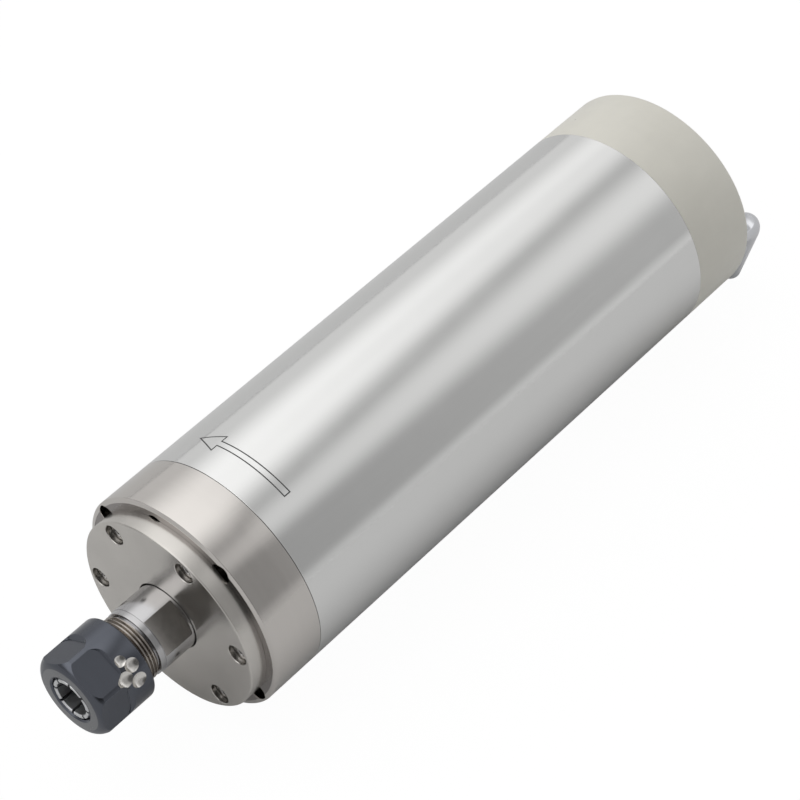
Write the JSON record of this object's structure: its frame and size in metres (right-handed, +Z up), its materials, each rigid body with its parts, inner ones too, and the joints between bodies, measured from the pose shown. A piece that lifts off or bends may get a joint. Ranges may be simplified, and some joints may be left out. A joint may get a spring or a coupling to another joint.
{
  "type": "motor spindle",
  "caption": "Water-cooled motor spindle: round steel body, collet and nut on the shaft nose, elbow hose pipes and power connector on the rear cap.",
  "frame": {"origin": "on the spindle axis at the front end of the steel body tube, where the front housing meets it", "axes": "+Y along the spindle axis towards the rear cap, nose towards -Y, +Z up, +X to the right for someone facing the nose"},
  "size_m": [0.065, 0.2525, 0.065],
  "materials": {
    "body_steel": "polished stainless steel",
    "nickel_steel": "fine-turned steel, warm nickel tone",
    "shaft_steel": "ground steel",
    "collet_steel": "ground spring steel",
    "black_oxide": "blue-black oxide, satin",
    "black_steel": "black oxide",
    "screw_steel": "bright zinc plate",
    "bearing_steel": "ground and polished",
    "spring_steel": "blank",
    "lamination_steel": "stacked sheet, matt",
    "aluminium_alloy": "turned",
    "cast_aluminium": "as cast",
    "brass_alloy": "turned",
    "winding_copper": "enamelled copper wire, varnished",
    "pin_brass": "gold-coloured plating",
    "lead_insulation": "silicone-covered wire",
    "seal_rubber": "nitrile rubber",
    "cage_resin": "fabric-reinforced resin",
    "cap_plastic": "ivory moulded plastic, semi-gloss",
    "chrome_plate": "bright chrome plate",
    "connector_metal": "satin nickel plate",
    "connector_insulator": "black moulded insulator"
  },
  "bodies": {
    "housing": {"body_tube": "body_steel", "front_housing": "nickel_steel", "housing_screws": "screw_steel", "front_cover": "nickel_steel", "cover_screws": "screw_steel", "body_o_rings": "seal_rubber", "front_bearing_1_outer_ring": "bearing_steel", "front_bearing_2_outer_ring": "bearing_steel", "bearing_outer_spacer": "bearing_steel", "rear_bearing_outer_ring": "bearing_steel", "preload_spring": "spring_steel", "rear_housing": "aluminium_alloy", "water_jacket": "aluminium_alloy", "stator_core": "lamination_steel", "stator_windings": "winding_copper", "motor_leads": "lead_insulation", "rear_cap": "cap_plastic", "cap_screws": "screw_steel", "water_pipe_right": "chrome_plate", "water_pipe_left": "chrome_plate", "pipe_nuts": "chrome_plate", "connector_shell": "connector_metal", "connector_insert": "connector_insulator", "connector_pins": "pin_brass", "connector_nut": "connector_metal"},
    "spindle_shaft": {"shaft": "shaft_steel", "front_bearing_1_inner_ring": "bearing_steel", "front_bearing_2_inner_ring": "bearing_steel", "bearing_inner_spacer": "bearing_steel", "front_locknut": "black_steel", "rotor_core": "lamination_steel", "rotor_cage": "cast_aluminium", "balance_rings": "brass_alloy", "rear_bearing_inner_ring": "bearing_steel", "rear_locknut": "black_steel"},
    "front_ball_set_1": {"front_bearing_1_cage": "cage_resin", "front_bearing_1_balls": "bearing_steel"},
    "front_ball_set_2": {"front_bearing_2_cage": "cage_resin", "front_bearing_2_balls": "bearing_steel"},
    "rear_ball_set": {"rear_bearing_cage": "cage_resin", "rear_bearing_balls": "bearing_steel"},
    "collet": {"collet": "collet_steel"},
    "collet_nut": {"collet_nut": "black_oxide"}
  },
  "joints": [
    {"name": "shaft_spin", "type": "hinge", "parent": "housing", "child": "spindle_shaft", "pos_m": [0, 0, 0], "axis": [0, 1, 0], "continuous": true},
    {"name": "front_balls_1_spin", "type": "hinge", "parent": "housing", "child": "front_ball_set_1", "pos_m": [0, -0.0086, 0], "axis": [0, 1, 0], "continuous": true},
    {"name": "front_balls_2_spin", "type": "hinge", "parent": "housing", "child": "front_ball_set_2", "pos_m": [0, 0.0034, 0], "axis": [0, 1, 0], "continuous": true},
    {"name": "rear_balls_spin", "type": "hinge", "parent": "housing", "child": "rear_ball_set", "pos_m": [0, 0.1355, 0], "axis": [0, 1, 0], "continuous": true},
    {"name": "collet_slide", "type": "slide", "parent": "spindle_shaft", "child": "collet", "axis": [0, -1, 0], "range_m": [0, 0.009]},
    {"name": "nut_turn", "type": "hinge", "parent": "collet", "child": "collet_nut", "pos_m": [0, -0.047, 0], "axis": [0, -1, 0], "range_deg": [0, 3240]}
  ],
  "couplings": [
    {"joint": "front_balls_1_spin", "follows": "shaft_spin", "ratio": 0.4116},
    {"joint": "front_balls_2_spin", "follows": "shaft_spin", "ratio": 0.4116},
    {"joint": "rear_balls_spin", "follows": "shaft_spin", "ratio": 0.4021},
    {"joint": "collet_slide", "follows": "nut_turn", "m_per_rad": 0.00015915}
  ]
}
